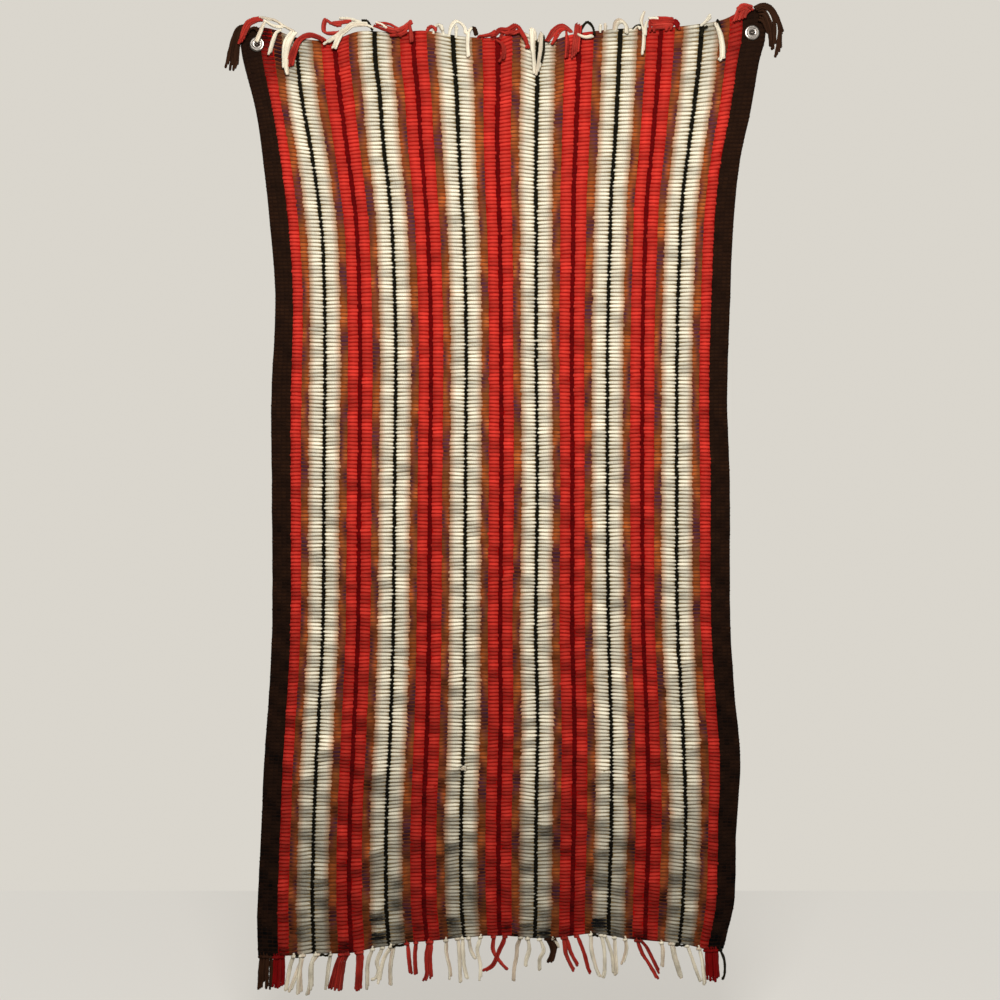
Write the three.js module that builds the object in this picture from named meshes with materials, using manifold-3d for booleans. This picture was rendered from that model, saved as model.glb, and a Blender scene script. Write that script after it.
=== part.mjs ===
// Crochet afghan with fringed ends, hung by its two top corners from two dished discs on headed pins.
// Millimetres, +Z up, +X to the right as the front is seen, front towards -Y.
// The origin is on the wall plane, midway between the two pins. "drop" is a distance below it.

import * as THREE from 'three';
import { mergeVertices } from 'three/addons/utils/BufferGeometryUtils.js';
import Module from 'manifold-3d';

const wasm = await Module();
wasm.setup();

// Driving dimensions
const clothThickness = 5;
const wallGap = 4;
const pieceGap = 0.3;
const flatWidth = 914;
const edgingWidth = 38;
const panelColumns = 26;
const edgingColumns = 2;
const clothRows = 32;

// Where the long edges of the hanging cloth are, from the top down
const sections = [
  { drop: -70, left: -534, right: 524 },
  { drop: 0, left: -529, right: 521 },
  { drop: 42, left: -523, right: 510 },
  { drop: 144, left: -497, right: 492 },
  { drop: 246, left: -482, right: 470 },
  { drop: 378, left: -468, right: 457 },
  { drop: 522, left: -458, right: 451 },
  { drop: 722, left: -466, right: 445 },
  { drop: 882, left: -465, right: 450 },
  { drop: 1162, left: -464, right: 451 },
  { drop: 1302, left: -470, right: 459 },
  { drop: 1442, left: -480, right: 471 },
  { drop: 1582, left: -486, right: 463 },
  { drop: 1722, left: -493, right: 459 },
  { drop: 1782, left: -494, right: 446 },
  { drop: 1840, left: -492, right: 430 },
];

// Height of the top edge and of the hem, by share of the way across
const ends = [
  { across: 0, top: 12, hem: -1832 },
  { across: 0.05, top: 23, hem: -1833 },
  { across: 0.11, top: 4, hem: -1828 },
  { across: 0.18, top: -4, hem: -1827 },
  { across: 0.24, top: 15, hem: -1817 },
  { across: 0.31, top: 12, hem: -1806 },
  { across: 0.37, top: 16, hem: -1801 },
  { across: 0.44, top: 4, hem: -1793 },
  { across: 0.5, top: 3, hem: -1792 },
  { across: 0.54, top: 16, hem: -1793 },
  { across: 0.59, top: -6, hem: -1798 },
  { across: 0.64, top: 8, hem: -1794 },
  { across: 0.7, top: 17, hem: -1787 },
  { across: 0.77, top: 22, hem: -1798 },
  { across: 0.85, top: 25, hem: -1804 },
  { across: 0.92, top: 37, hem: -1813 },
  { across: 0.96, top: 56, hem: -1820 },
  { across: 1, top: 62, hem: -1818 },
];

// Broad soft folds: middle, length along the fold, lean from upright, half width, and how far it stands out
const folds = [
  { x: -430, drop: 170, length: 320, lean: 18, width: 42, rise: 5 },
  { x: 425, drop: 150, length: 320, lean: -18, width: 42, rise: 5 },
  { x: -120, drop: 60, length: 150, lean: 0, width: 60, rise: 5 },
  { x: 150, drop: 50, length: 150, lean: 0, width: 60, rise: 5 },
  { x: -300, drop: 900, length: 700, lean: 0, width: 55, rise: 5 },
  { x: -20, drop: 1000, length: 800, lean: 0, width: 60, rise: 4 },
  { x: 250, drop: 980, length: 760, lean: 0, width: 55, rise: 5 },
  { x: -380, drop: 1440, length: 220, lean: 52, width: 26, rise: 4 },
  { x: -240, drop: 1500, length: 240, lean: 50, width: 26, rise: 4 },
  { x: -90, drop: 1560, length: 260, lean: 48, width: 26, rise: 4 },
  { x: 60, drop: 1520, length: 260, lean: 46, width: 26, rise: 4 },
  { x: 200, drop: 1600, length: 240, lean: 46, width: 26, rise: 4 },
  { x: 350, drop: 1260, length: 220, lean: 44, width: 26, rise: 4 },
  { x: -330, drop: 1720, length: 200, lean: 4, width: 50, rise: 7 },
  { x: -60, drop: 1740, length: 180, lean: 0, width: 50, rise: 6 },
  { x: 180, drop: 1730, length: 200, lean: -4, width: 50, rise: 7 },
  { x: 400, drop: 1720, length: 160, lean: -6, width: 40, rise: 6 },
];

// The two pins that hold the corners
const pins = {
  left: { x: -495, z: -11 },
  right: { x: 495, z: 12 },
};
const disc = { hole: 2.1, web: 1.2, sides: 24 };
const pin = {
  shankRadius: 1.8,
  headRadius: 2.7,
  headHeight: 1.2,
  crownRadius: 1.9,
  crownHeight: 1.6,
  sides: 12,
};
const calm = { radius: 130, reach: 60 };

// Section of a disc from its hole outwards: a recessed boss, a dish and a rolled rim
const discSection = [
  { radius: disc.hole, out: 0 },
  { radius: disc.hole, out: disc.web },
  { radius: 3.1, out: disc.web },
  { radius: 3.4, out: 3 },
  { radius: 5.4, out: 2.8 },
  { radius: 7, out: 1.7 },
  { radius: 10.5, out: 1.8 },
  { radius: 12.8, out: 3.6 },
  { radius: 14.6, out: 3.6 },
  { radius: 15.6, out: 2 },
  { radius: 15.2, out: 0 },
  { radius: disc.hole, out: 0 },
];

// Yarn ends: place across, sideways shift of the tip and reach below the hem
const bottomYarns = [
  { across: 0.015, sway: 0, reach: 78 },
  { across: 0.042, sway: 2, reach: 72 },
  { across: 0.079, sway: -20, reach: 74 },
  { across: 0.096, sway: -16, reach: 84 },
  { across: 0.128, sway: -20, reach: 86 },
  { across: 0.153, sway: -6, reach: 76 },
  { across: 0.181, sway: -16, reach: 76 },
  { across: 0.215, sway: -2, reach: 86 },
  { across: 0.245, sway: -12, reach: 84 },
  { across: 0.266, sway: -12, reach: 68 },
  { across: 0.283, sway: -26, reach: 80 },
  { across: 0.328, sway: 0, reach: 76 },
  { across: 0.366, sway: -6, reach: 86 },
  { across: 0.4, sway: 8, reach: 90 },
  { across: 0.4255, sway: 8, reach: 92 },
  { across: 0.447, sway: 16, reach: 46 },
  { across: 0.472, sway: -2, reach: 94 },
  { across: 0.504, sway: 26, reach: 70 },
  { across: 0.5255, sway: -46, reach: 70 },
  { across: 0.557, sway: -14, reach: 90 },
  { across: 0.572, sway: -6, reach: 66 },
  { across: 0.596, sway: 4, reach: 70 },
  { across: 0.617, sway: -6, reach: 56 },
  { across: 0.649, sway: 24, reach: 74 },
  { across: 0.679, sway: 26, reach: 84 },
  { across: 0.706, sway: 18, reach: 90 },
  { across: 0.73, sway: 14, reach: 88 },
  { across: 0.757, sway: 2, reach: 80 },
  { across: 0.781, sway: -10, reach: 54 },
  { across: 0.806, sway: 40, reach: 80 },
  { across: 0.86, sway: 0, reach: 52 },
  { across: 0.879, sway: 18, reach: 70 },
  { across: 0.911, sway: 32, reach: 82 },
  { across: 0.938, sway: 10, reach: 78 },
  { across: 0.96, sway: 6, reach: 66 },
  { across: 0.985, sway: 4, reach: 62 },
];

// Yarn ends at the top: they rise, flop over to the front and fall; "out" is the tip's sideways shift
const topYarns = [
  { across: 0.008, rise: 10, out: -40, fall: 78 },
  { across: 0.016, rise: 12, out: -26, fall: 72 },
  { across: 0.037, rise: 22, out: -44, fall: 26 },
  { across: 0.046, rise: 14, out: 74, fall: 16 },
  { across: 0.081, rise: 12, out: -28, fall: 48 },
  { across: 0.095, rise: 10, out: -12, fall: 76 },
  { across: 0.13, rise: 16, out: -40, fall: 64 },
  { across: 0.136, rise: 14, out: 30, fall: 8 },
  { across: 0.166, rise: 30, out: 22, fall: 4 },
  { across: 0.188, rise: 38, out: 76, fall: -14 },
  { across: 0.2, rise: 24, out: -34, fall: 20 },
  { across: 0.256, rise: 14, out: 52, fall: 2 },
  { across: 0.328, rise: 26, out: 8, fall: 4 },
  { across: 0.393, rise: 22, out: 6, fall: 6 },
  { across: 0.41, rise: 36, out: 12, fall: 8 },
  { across: 0.44, rise: 18, out: -8, fall: 46 },
  { across: 0.49, rise: 34, out: 20, fall: 12 },
  { across: 0.505, rise: 30, out: 14, fall: 44 },
  { across: 0.555, rise: 22, out: -10, fall: 52 },
  { across: 0.575, rise: 28, out: 4, fall: 62 },
  { across: 0.6, rise: 24, out: 30, fall: 36 },
  { across: 0.645, rise: 26, out: 4, fall: 52 },
  { across: 0.665, rise: 24, out: 14, fall: 4 },
  { across: 0.72, rise: 24, out: 16, fall: 4 },
  { across: 0.775, rise: 34, out: 2, fall: 56 },
  { across: 0.8, rise: 16, out: 50, fall: -6 },
  { across: 0.89, rise: 24, out: 10, fall: -8 },
  { across: 0.916, rise: 8, out: 6, fall: 66 },
  { across: 0.945, rise: 16, out: 26, fall: -10 },
  { across: 0.985, rise: 6, out: 48, fall: 88 },
  { across: 0.995, rise: 6, out: 50, fall: 40 },
];
const yarn = { radius: 2.2, sides: 4, hangingSteps: 3, floppedSteps: 5 };
const knotRow = { height: 5, root: 3.2 };
const yarnClearance = 1.6;
const ordinaryCurve = 0.5;

// Shares of a yarn end's sway and reach at the points of its route
const hangingRoute = [
  { sway: 0, reach: 0 },
  { sway: 0.12, reach: 0.35 },
  { sway: 0.5, reach: 0.7 },
  { sway: 1, reach: 1 },
];

// The same for a flopped one, with how far it has come from the middle of the cloth to its front
const floppedRoute = [
  { out: 0, rise: 0, fall: 0, front: 0 },
  { out: 0.12, rise: 0.8, fall: 0, front: 0.3 },
  { out: 0.35, rise: 1, fall: 0, front: 1 },
  { out: 0.75, rise: 1, fall: 0.5, front: 1 },
  { out: 1, rise: 1, fall: 1, front: 1 },
];

const colours = {
  panel: 0xc9623f,
  edging: 0x26160c,
  fringe: 0xe6ddc6,
  metal: 0xc4c6c8,
  pin: 0x6a6b6d,
};
const roughness = { yarn: 0.95, metal: 0.25, pin: 0.4 };

// A smooth curve through one column of a table, read at a place given by another column.
function columnAt(table, by, name, at) {
  const last = table.length - 1;
  let row = 0;
  while (row < last - 1 && table[row + 1][by] < at) row += 1;
  const before = table[Math.max(row - 1, 0)];
  const from = table[row];
  const to = table[row + 1];
  const after = table[Math.min(row + 2, last)];
  const span = to[by] - from[by];
  const share = THREE.MathUtils.clamp((at - from[by]) / span, 0, 1);
  const slopeFrom = ((to[name] - before[name]) / (to[by] - before[by])) * span;
  const slopeTo = ((after[name] - from[name]) / (after[by] - from[by])) * span;
  const square = share * share;
  const cube = square * share;
  return (
    (2 * cube - 3 * square + 1) * from[name] +
    (cube - 2 * square + share) * slopeFrom +
    (3 * square - 2 * cube) * to[name] +
    (cube - square) * slopeTo
  );
}

// How much a fold lifts the cloth at a place.
function foldLift(fold, x, z) {
  const lean = THREE.MathUtils.degToRad(fold.lean);
  const sideways = x - fold.x;
  const upwards = z + fold.drop;
  const along = sideways * Math.sin(lean) + upwards * Math.cos(lean);
  const across = sideways * Math.cos(lean) - upwards * Math.sin(lean);
  const shape = (along / (fold.length / 2)) ** 2 + (across / fold.width) ** 2;
  return fold.rise * Math.exp(-shape);
}

// Distance from the wall plane to the back of the cloth; it lies calm where a pin presses it.
function standOff(x, z) {
  const lift = folds.reduce((sum, fold) => sum + foldLift(fold, x, z), 0);
  const nearest = Math.min(...Object.values(pins).map((p) => Math.hypot(x - p.x, z - p.z)));
  return wallGap + lift * THREE.MathUtils.smoothstep(nearest, calm.reach, calm.radius);
}

function topAt(across) {
  return columnAt(ends, 'across', 'top', across);
}

function hemAt(across) {
  return columnAt(ends, 'across', 'hem', across);
}

function sideways(across, z) {
  const left = columnAt(sections, 'drop', 'left', -z);
  const right = columnAt(sections, 'drop', 'right', -z);
  return left + (right - left) * across;
}

// A closed sheet of the cloth's thickness, with a column line at each share of the width.
function sheet({ shares, rows, upper, lower }) {
  const columns = shares.length - 1;
  const places = [];
  const faces = [];
  for (let row = 0; row <= rows; row += 1) {
    for (const across of shares) {
      const z = upper(across) + ((lower(across) - upper(across)) * row) / rows;
      const x = sideways(across, z);
      const back = -standOff(x, z);
      places.push(x, back - clothThickness, z, x, back, z);
    }
  }
  const at = (row, column, side) => 2 * (row * (columns + 1) + column) + side;
  const quad = (a, b, c, d) => faces.push(a, b, c, a, c, d);
  for (let row = 0; row < rows; row += 1) {
    for (let column = 0; column < columns; column += 1) {
      quad(at(row + 1, column, 0), at(row + 1, column + 1, 0), at(row, column + 1, 0), at(row, column, 0));
      quad(at(row, column, 1), at(row, column + 1, 1), at(row + 1, column + 1, 1), at(row + 1, column, 1));
    }
    quad(at(row, 0, 0), at(row, 0, 1), at(row + 1, 0, 1), at(row + 1, 0, 0));
    quad(at(row + 1, columns, 0), at(row + 1, columns, 1), at(row, columns, 1), at(row, columns, 0));
  }
  for (let column = 0; column < columns; column += 1) {
    quad(at(0, column, 0), at(0, column + 1, 0), at(0, column + 1, 1), at(0, column, 1));
    quad(at(rows, column, 1), at(rows, column + 1, 1), at(rows, column + 1, 0), at(rows, column, 0));
  }
  const geometry = new THREE.BufferGeometry();
  geometry.setAttribute('position', new THREE.Float32BufferAttribute(places, 3));
  geometry.setIndex(faces);
  return geometry;
}

function solidOf(geometry) {
  const bare = geometry.clone();
  bare.deleteAttribute('normal');
  bare.deleteAttribute('uv');
  const merged = mergeVertices(bare, 1e-4);
  return new wasm.Manifold(
    new wasm.Mesh({
      numProp: 3,
      vertProperties: new Float32Array(merged.attributes.position.array),
      triVerts: new Uint32Array(merged.index.array),
    }),
  );
}

function geometryOf(solid) {
  const mesh = solid.getMesh();
  const geometry = new THREE.BufferGeometry();
  geometry.setAttribute('position', new THREE.BufferAttribute(mesh.vertProperties, 3));
  geometry.setIndex(new THREE.BufferAttribute(mesh.triVerts, 1));
  return geometry;
}

function named(name, geometry, colour, roughness, metalness = 0) {
  const flat = geometry.index ? geometry.toNonIndexed() : geometry;
  flat.computeVertexNormals();
  const material = new THREE.MeshStandardMaterial({ color: colour, roughness, metalness });
  const mesh = new THREE.Mesh(flat, material);
  mesh.name = name;
  return mesh;
}

// Column lines of the three strips of cloth, so that the fringes follow their facets
function divided(from, to, columns) {
  return Array.from({ length: columns + 1 }, (unused, line) => from + ((to - from) * line) / columns);
}

const edgingShare = edgingWidth / flatWidth;
const gapShare = pieceGap / flatWidth;
const shares = {
  left: divided(0, edgingShare, edgingColumns),
  panel: divided(edgingShare + gapShare, 1 - edgingShare - gapShare, panelColumns),
  right: divided(1 - edgingShare, 1, edgingColumns),
};

// Height of a faceted edge at a share of the width.
function facetAt(edge, across) {
  const lines = Object.values(shares).flat();
  const next = Math.max(lines.findIndex((line) => line >= across), 1);
  const [before, after] = [lines[next - 1], lines[next]];
  return THREE.MathUtils.mapLinear(across, before, after, edge(before), edge(after));
}

// Striped panel
function panel() {
  const shape = sheet({ shares: shares.panel, rows: clothRows, upper: topAt, lower: hemAt });
  return named('afghan_panel', shape, colours.panel, roughness.yarn);
}

// Edging, with the hole that its pin goes through
function edging(side) {
  const strip = sheet({ shares: shares[side], rows: clothRows, upper: topAt, lower: hemAt });
  const radius = pin.shankRadius + pieceGap;
  const deepEnough = 4 * (clothThickness + wallGap);
  const hole = new THREE.CylinderGeometry(radius, radius, deepEnough, pin.sides);
  hole.translate(pins[side].x, 0, pins[side].z);
  const cut = solidOf(strip).subtract(solidOf(hole));
  return named(`edging_${side}`, geometryOf(cut), colours.edging, roughness.yarn);
}

// Fringe: a knot row along the edge, and a tube for each yarn end
function yarnTube(points, steps) {
  const section = new THREE.Shape(
    Array.from({ length: yarn.sides }, (unused, corner) => {
      const turn = (corner / yarn.sides) * Math.PI * 2;
      return new THREE.Vector2(Math.cos(turn) * yarn.radius, Math.sin(turn) * yarn.radius);
    }),
  );
  return new THREE.ExtrudeGeometry(section, {
    extrudePath: new THREE.CatmullRomCurve3(points, false, 'catmullrom', ordinaryCurve),
    steps,
  });
}

function middleDepth(x, z) {
  return -standOff(x, z) - clothThickness / 2;
}

function frontDepth(x, z) {
  return -standOff(x, z) - clothThickness - yarnClearance - yarn.radius;
}

function comb(name, upper, lower, tubes) {
  const bar = sheet({ shares: Object.values(shares).flat(), rows: 1, upper, lower });
  const whole = tubes.reduce((sum, tube) => sum.add(solidOf(tube)), solidOf(bar));
  return named(name, geometryOf(whole), colours.fringe, roughness.yarn);
}

function bottomFringe() {
  const tubes = bottomYarns.map(({ across, sway, reach }) => {
    const start = facetAt(hemAt, across) - pieceGap - knotRow.root;
    const x = sideways(across, start);
    const depth = middleDepth(x, start);
    const route = hangingRoute.map(
      (point) => new THREE.Vector3(x + sway * point.sway, depth, start - reach * point.reach),
    );
    return yarnTube(route, yarn.hangingSteps);
  });
  return comb(
    'fringe_bottom',
    (across) => hemAt(across) - pieceGap,
    (across) => hemAt(across) - pieceGap - knotRow.height,
    tubes,
  );
}

function topFringe() {
  const tubes = topYarns.map(({ across, rise, out, fall }) => {
    const start = facetAt(topAt, across) + pieceGap + knotRow.root;
    const x = sideways(across, start);
    const route = floppedRoute.map((point) => {
      const place = x + out * point.out;
      const height = start + rise * point.rise - (rise + fall) * point.fall;
      const depth = THREE.MathUtils.lerp(middleDepth(x, start), frontDepth(place, height), point.front);
      return new THREE.Vector3(place, depth, height);
    });
    return yarnTube(route, yarn.floppedSteps);
  });
  return comb(
    'fringe_top',
    (across) => topAt(across) + pieceGap + knotRow.height,
    (across) => topAt(across) + pieceGap,
    tubes,
  );
}

// Discs and pins, turned about an axis that points at the viewer
function turned(name, section, sides, side, colour, rough) {
  const { x, z } = pins[side];
  const points = section.map(({ radius, out }) => new THREE.Vector2(radius, -out));
  const mesh = named(name, new THREE.LatheGeometry(points, sides), colour, rough, 1);
  mesh.position.set(x, discSeat(side), z);
  return mesh;
}

function discSeat(side) {
  const { x, z } = pins[side];
  return -standOff(x, z) - clothThickness - pieceGap;
}

function dishedDisc(side) {
  return turned(`disc_${side}`, discSection, disc.sides, side, colours.metal, roughness.metal);
}

function headedPin(side) {
  const wall = discSeat(side);
  const under = disc.web + pieceGap;
  const section = [
    { radius: 0, out: under + pin.crownHeight },
    { radius: pin.crownRadius, out: under + pin.headHeight },
    { radius: pin.headRadius, out: under + pin.headHeight / 2 },
    { radius: pin.headRadius, out: under },
    { radius: pin.shankRadius, out: under },
    { radius: pin.shankRadius, out: wall },
    { radius: 0, out: wall },
  ];
  return turned(`pin_${side}`, section, pin.sides, side, colours.pin, roughness.pin);
}

const afghan = new THREE.Group();
afghan.add(
  panel(),
  edging('left'),
  edging('right'),
  topFringe(),
  bottomFringe(),
  ...Object.keys(pins).flatMap((side) => [dishedDisc(side), headedPin(side)]),
);

export default afghan;
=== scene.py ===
# Striped crochet afghan with dark edgings and fringed ends, hung by its top corners from two dished discs.
# Millimetres until a mesh is made, in the model's frame: +Z up, +X to the right, the front towards -Y.
import math
import bmesh
import bpy
import numpy as np
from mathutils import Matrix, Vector


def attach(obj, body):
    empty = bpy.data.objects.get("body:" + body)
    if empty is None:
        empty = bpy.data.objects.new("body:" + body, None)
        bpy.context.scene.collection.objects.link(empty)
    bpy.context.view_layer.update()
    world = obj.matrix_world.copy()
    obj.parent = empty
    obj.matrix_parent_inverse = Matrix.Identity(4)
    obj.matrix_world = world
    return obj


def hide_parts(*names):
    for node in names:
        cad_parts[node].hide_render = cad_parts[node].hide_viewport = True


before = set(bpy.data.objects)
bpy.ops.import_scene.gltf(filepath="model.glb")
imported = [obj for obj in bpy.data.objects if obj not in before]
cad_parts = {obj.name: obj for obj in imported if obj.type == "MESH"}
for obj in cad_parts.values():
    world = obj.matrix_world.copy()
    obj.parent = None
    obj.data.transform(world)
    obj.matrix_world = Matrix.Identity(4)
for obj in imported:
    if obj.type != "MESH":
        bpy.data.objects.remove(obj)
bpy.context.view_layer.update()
mm = 0.001
chance = np.random.default_rng(11)


# Node trees: a socket that takes arithmetic, and one way to add any node

class Wire:
    def __init__(self, net, socket):
        self.net = net
        self.socket = socket

    def sum(self, operation, first, second):
        return self.net.node("ShaderNodeMath", {"operation": operation}, {0: first, 1: second})

    def __add__(self, other):
        return self.sum("ADD", self, other)

    def __radd__(self, other):
        return self.sum("ADD", other, self)

    def __sub__(self, other):
        return self.sum("SUBTRACT", self, other)

    def __rsub__(self, other):
        return self.sum("SUBTRACT", other, self)

    def __mul__(self, other):
        return self.sum("MULTIPLY", self, other)

    def __rmul__(self, other):
        return self.sum("MULTIPLY", other, self)


def fillRamp(ramp, stops):
    while len(ramp.elements) < len(stops):
        ramp.elements.new(1)
    for element, (place, colour) in zip(ramp.elements, stops):
        element.position = place
        element.color = (*colour, 1)


class Net:
    def __init__(self, tree):
        self.tree = tree

    def put(self, value, socket):
        if isinstance(value, Wire):
            self.tree.links.new(value.socket, socket)
        else:
            socket.default_value = value

    def node(self, kind, settings=None, values=None, output=0):
        made = self.tree.nodes.new(kind)
        for name, setting in (settings or {}).items():
            if name == "stops":
                fillRamp(made.color_ramp, setting)
            else:
                setattr(made, name, setting)
        for socket, value in (values or {}).items():
            self.put(value, made.inputs[socket])
        return Wire(self, made.outputs[output])

    def given(self, sockets):  # the named inputs of a geometry tree
        for label, kind in sockets.items():
            self.tree.interface.new_socket(label, in_out="INPUT", socket_type=kind)
        entry = self.tree.nodes.new("NodeGroupInput")
        return {label: Wire(self, entry.outputs[label]) for label in sockets}

    def finish(self, geometry):
        self.tree.interface.new_socket("Geometry", in_out="OUTPUT", socket_type="NodeSocketGeometry")
        leave = self.tree.nodes.new("NodeGroupOutput")
        self.put(geometry, leave.inputs["Geometry"])
        return self.tree


# Finishes

yarnLook = {
    "roughness": 0.95,
    "shine": 0.1,
    "sheenRoughness": 0.5,
    "fibre": (160, 900, 900),
    "fibreTone": 0.4,
    "fibreDepth": 0.0005,
    "plies": 2,  # round a stitch, and how often they turn along half of it
    "plyTurns": 5,
    "plyDepth": 0.6,
    "patch": 26,
    "patchTone": 0.55,
    "grooveShadeShare": 0.7,  # painted shade in the grooves: how far the variegated yarn's colour there goes towards its dark colour
    "tintFrom": 0.05,  # along an outer stitch, whose thin end takes up its neighbour's colour
    "tintRise": 1.2,
    "tipShade": 0.06,
}

# Each yarn's crest colour, and the dark colour of its grooves, which is painted shade for the sides of the
# stitches where they meet
yarns = {
    "white": {
        "crest": (0.9, 0.83, 0.65),
        "grooveShade": (0.2, 0.14, 0.065),
        "tint": (0.5, 0.22, 0.1),
        "tone": 0.1,
        "sheen": 0.1,
    },
    "red": {
        "crest": (0.64, 0.042, 0.027),
        "grooveShade": (0.3, 0.002, 0.0008),
        "tint": (0.72, 0.12, 0.08),
        "tone": 0.12,
        "sheen": 0.0,
    },
    "maroon": {
        "crest": (0.2, 0.0008, 0.0014),
        "grooveShade": (0.09, 0.0, 0.0),
        "tint": (0.2, 0.02, 0.015),
        "tone": 0.1,
        "sheen": 0.0,
    },
    "black": {
        "crest": (0.009, 0.0075, 0.002),
        "grooveShade": (0.004, 0.003, 0.001),
        "tint": (0.03, 0.025, 0.015),
        "tone": 0.1,
        "sheen": 0.0,
    },
    "brown": {
        "crest": (0.028, 0.01, 0.0035),
        "grooveShade": (0.012, 0.004, 0.0014),
        "tint": (0.07, 0.026, 0.013),
        "tone": 0.16,
        "sheen": 0.0,
    },
    "variegated": {
        "crest": None,  # it follows the dye
        "grooveShade": (0.02, 0.006, 0.004),
        "tint": (0.6, 0.3, 0.15),
        "tone": 0.12,
        "sheen": 0.0,
    },
}

# One turn of the dye of the variegated yarn
dye = [
    (0.0, (0.4, 0.088, 0.018)),
    (0.13, (0.62, 0.15, 0.034)),
    (0.27, (0.37, 0.08, 0.022)),
    (0.4, (0.16, 0.032, 0.027)),
    (0.52, (0.09, 0.027, 0.05)),
    (0.63, (0.17, 0.038, 0.035)),
    (0.8, (0.28, 0.084, 0.021)),
    (1.0, (0.4, 0.088, 0.018)),
]


def yarnFinish(name, crest, grooveShade, tint, tone, sheen):
    material = bpy.data.materials.new(name)
    material.use_nodes = True
    net = Net(material.node_tree)
    surface = material.node_tree.nodes["Principled BSDF"]

    def attribute(label):
        return net.node("ShaderNodeAttribute", {"attribute_name": label}, output=2)

    def mixed(factor, first, second):
        return net.node("ShaderNodeMix", {"data_type": "RGBA"}, {0: factor, 6: first, 7: second}, output=2)

    def maths(operation, *inputs, clamp=False):
        settings = {"operation": operation, "use_clamp": clamp}
        return net.node("ShaderNodeMath", settings, dict(enumerate(inputs)))

    def dyeAt(run):
        return net.node("ShaderNodeValToRGB", {"stops": dye}, {0: maths("FRACT", run + 1)})

    place = net.node("ShaderNodeTexCoord", output=3)
    stretched = net.node("ShaderNodeVectorMath", {"operation": "MULTIPLY"}, {
        0: place,
        1: yarnLook["fibre"],
    })
    fibre = net.node("ShaderNodeTexNoise", values={"Vector": stretched, "Scale": 1.0, "Detail": 2.0})
    patch = net.node("ShaderNodeTexNoise", values={
        "Vector": place,
        "Scale": yarnLook["patch"],
        "Detail": 1.0,
    })
    along = attribute("along")
    if crest is None:  # dyed in short runs, of which two lie side by side in a row
        change = maths("MULTIPLY", along + 0.5, 1, clamp=True)
        top = mixed(change, dyeAt(attribute("run")), dyeAt(attribute("nextRun")))
        # painted shade: in the grooves the variegated dye is pulled most of the way to the dark colour
        low = mixed(yarnLook["grooveShadeShare"], top, (*grooveShade, 1))
    else:
        top = (*crest, 1)
        low = (*grooveShade, 1)
    # painted shade: the crest attribute mixes the dark colour of the grooves into the sides and thin ends of
    # each stitch
    colour = mixed(attribute("crest"), low, top)
    outer = attribute("outer")
    rim = maths("MULTIPLY", along - yarnLook["tintFrom"], outer * yarnLook["tintRise"], clamp=True)
    colour = mixed(rim, colour, (*tint, 1))
    # the tone attribute brings random tone and painted shade into the colour's value
    value = 1 + attribute("tone") * tone
    value = value + (fibre - 0.5) * yarnLook["fibreTone"]
    value = value + (patch - 0.5) * yarnLook["patchTone"]
    value = value - outer * (along + 1) * yarnLook["tipShade"]
    colour = net.node("ShaderNodeHueSaturation", values={"Value": value, "Color": colour})
    turn = (attribute("around") * yarnLook["plies"] + along * yarnLook["plyTurns"]) * (2 * math.pi)
    relief = fibre + maths("SINE", turn) * yarnLook["plyDepth"]
    bump = net.node("ShaderNodeBump", values={"Distance": yarnLook["fibreDepth"], "Height": relief})
    net.put(colour, surface.inputs["Base Color"])
    net.put(bump, surface.inputs["Normal"])
    net.put(yarnLook["roughness"], surface.inputs["Roughness"])
    net.put(yarnLook["shine"], surface.inputs["Specular IOR Level"])
    net.put(sheen, surface.inputs["Sheen Weight"])
    net.put(yarnLook["sheenRoughness"], surface.inputs["Sheen Roughness"])
    return material


finishes = {name: yarnFinish(f"{name}Yarn", **look) for name, look in yarns.items()}

metalLook = {
    "disc": {"colour": (0.36, 0.32, 0.28), "roughness": 0.2, "scuff": 0.12, "scuffScale": 200},
    "pin": {"colour": (0.12, 0.1, 0.085), "roughness": 0.42, "scuff": 0.2, "scuffScale": 700},
}
metalMarks = {"dark": 0.75, "detail": 4.0, "strength": 0.05, "depth": 0.0002}


def metalFinish(name, colour, roughness, scuff, scuffScale):
    material = bpy.data.materials.new(name)
    material.use_nodes = True
    net = Net(material.node_tree)
    surface = material.node_tree.nodes["Principled BSDF"]
    place = net.node("ShaderNodeTexCoord", output=3)
    marks = net.node("ShaderNodeTexNoise", values={
        "Vector": place,
        "Scale": scuffScale,
        "Detail": metalMarks["detail"],
    })
    bump = net.node("ShaderNodeBump", values={
        "Strength": metalMarks["strength"],
        "Distance": metalMarks["depth"],
        "Height": marks,
    })
    dark = [metalMarks["dark"] * part for part in colour]
    shade = net.node(
        "ShaderNodeMix",
        {"data_type": "RGBA"},
        {0: marks, 6: (*dark, 1), 7: (*colour, 1)},
        output=2,
    )
    net.put(shade, surface.inputs["Base Color"])
    net.put(roughness + (marks - 0.5) * scuff, surface.inputs["Roughness"])
    net.put(1.0, surface.inputs["Metallic"])
    net.put(bump, surface.inputs["Normal"])
    return material


metals = {name: metalFinish(f"{name}Metal", **look) for name, look in metalLook.items()}
print("finishes mixed")


# The hanging cloth: its outline, where its stripes run, its folds and creases

cloth = {
    "flatWidth": 914,
    "flatLength": 1830,
    "edging": 38,
    "thickness": 5,
    "ground": 2.6,
    "backGap": 4,
    "sag": 0.04,  # the weight opens the stitches at the top and lets them close below
}
# Heights of level ends, and how far in the uneven ends still pull the rows
levels = {"top": 12, "hem": -1806, "reach": 170}
pins = {"left": (-495, -11), "right": (495, 12)}
calm = {"radius": 130, "reach": 60}

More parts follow.
